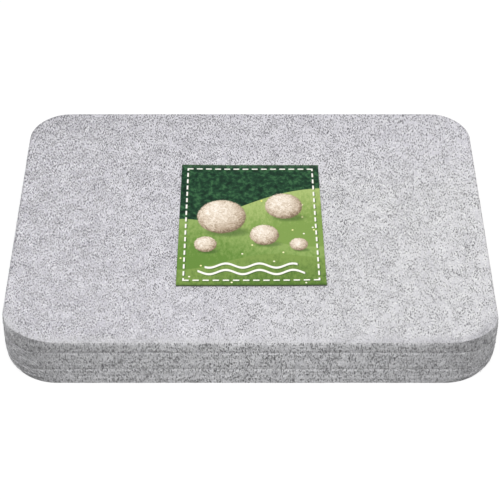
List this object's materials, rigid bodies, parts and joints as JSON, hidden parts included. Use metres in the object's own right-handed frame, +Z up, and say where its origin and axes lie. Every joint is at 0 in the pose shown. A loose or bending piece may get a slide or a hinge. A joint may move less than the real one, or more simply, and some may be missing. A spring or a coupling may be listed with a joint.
{
  "type": "needle felting mat",
  "caption": "Rounded rectangular slab of layered grey wool felt that backs needle felting work, with a peel-off printed card taped to its working face.",
  "frame": {"origin": "centre of the underside, on the surface that the mat lies on", "axes": "+X along the mat's long side, +Y from its front edge to its back edge, +Z up out of the working face"},
  "size_m": [0.21, 0.15, 0.026],
  "materials": {
    "wool_felt": "matte",
    "printed_card": "satin",
    "double_sided_tape": "matte"
  },
  "bodies": {
    "mat": {"bottom_wool_ply": "wool_felt", "lower_wool_ply": "wool_felt", "middle_wool_ply": "wool_felt", "upper_wool_ply": "wool_felt", "top_wool_ply": "wool_felt"},
    "label": {"label_card": "printed_card", "label_tape_front": "double_sided_tape", "label_tape_back": "double_sided_tape"}
  },
  "joints": [
    {"name": "label_lift", "type": "slide", "parent": "mat", "child": "label", "axis": [0, 0, 1], "range_m": [0, 0.05]}
  ]
}
